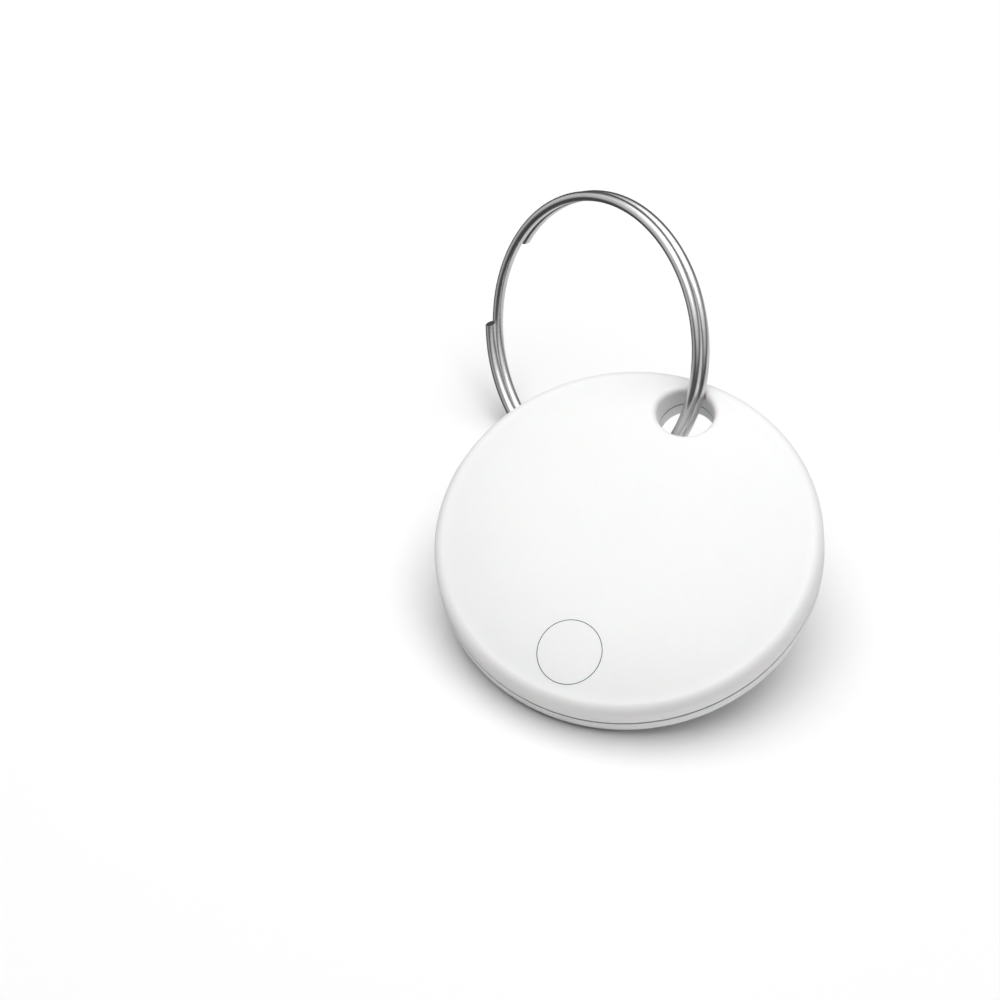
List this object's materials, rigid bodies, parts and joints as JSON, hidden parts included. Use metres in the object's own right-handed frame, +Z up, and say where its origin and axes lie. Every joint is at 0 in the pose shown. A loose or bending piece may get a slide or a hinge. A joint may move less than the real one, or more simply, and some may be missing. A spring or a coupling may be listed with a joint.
{
  "type": "bluetooth tracker tag",
  "caption": "Round white tracker tag with a domed face, a flush round button and a key hole at its rim, carried on a split steel key ring.",
  "frame": {"origin": "centre of the flat part of the tag's back face", "axes": "+Z up from the table, +Y from the button towards the key hole, +X to the right seen from the button's side with the face up; the tag leans 18.9 degrees about X, the key hole's side raised, as its ring props it"},
  "size_m": [0.0453, 0.0481, 0.0279],
  "materials": {
    "white_plastic": "satin moulded white",
    "grey_plastic": "satin",
    "black_resin": "matte",
    "grey_silicone": "matte",
    "ring_steel": "polished nickel-plated steel wire",
    "screw_steel": "bright",
    "cell_steel": "bright",
    "nickel": "bright",
    "brass": "satin",
    "solder_mask": "satin",
    "white_ceramic": "matte",
    "capacitor_ceramic": "matte",
    "nylon": "satin",
    "manganese_oxide": "matte",
    "separator_felt": "matte",
    "lithium": "dull",
    "adhesive": "satin"
  },
  "bodies": {
    "tag": {"front_shell": "white_plastic", "back_cover": "white_plastic", "cover_seal": "grey_silicone", "key_hole_gasket": "grey_silicone", "switch_base": "grey_plastic", "switch_dome": "nickel", "switch_cover": "nickel", "circuit_board": "solder_mask", "board_screw_left": "screw_steel", "board_screw_right": "screw_steel", "bluetooth_chip": "black_resin", "sounder_driver_chip": "black_resin", "chip_antenna": "white_ceramic", "boost_inductor": "black_resin", "main_crystal": "nickel", "clock_crystal": "nickel", "antenna_capacitor": "capacitor_ceramic", "supply_capacitor": "capacitor_ceramic", "chip_capacitor": "capacitor_ceramic", "crystal_capacitor": "capacitor_ceramic", "button_resistor": "black_resin", "sounder_resistor": "black_resin", "cell_negative_contact": "nickel", "cell_positive_contact": "nickel", "sounder_plate_contact": "nickel", "sounder_ceramic_contact": "nickel", "sounder_plate": "brass", "sounder_glue_ring": "adhesive", "sounder_ceramic": "white_ceramic", "cell_can": "cell_steel", "cell_cap": "cell_steel", "cell_gasket": "nylon", "cell_cathode": "manganese_oxide", "cell_separator": "separator_felt", "cell_anode": "lithium"},
    "button": {"button_cap": "white_plastic"},
    "plunger": {"switch_plunger": "grey_silicone"},
    "ring": {"key_ring": "ring_steel"}
  },
  "joints": [
    {"name": "button_press", "type": "slide", "parent": "tag", "child": "button", "axis": [0, 0.3239, -0.9461], "range_m": [0, 0.00022]},
    {"name": "plunger_press", "type": "slide", "parent": "tag", "child": "plunger", "axis": [0, 0.3239, -0.9461], "range_m": [0, 0.00022], "deforming": ["switch_dome"]},
    {"name": "ring_swing", "type": "hinge", "parent": "tag", "child": "ring", "pos_m": [-0.00015, 0.01307, 0.0078], "axis": [-0.8852, 0.4646, 0.0238], "range_deg": [-65, 0]}
  ],
  "couplings": [
    {"joint": "plunger_press", "follows": "button_press", "ratio": 1}
  ]
}
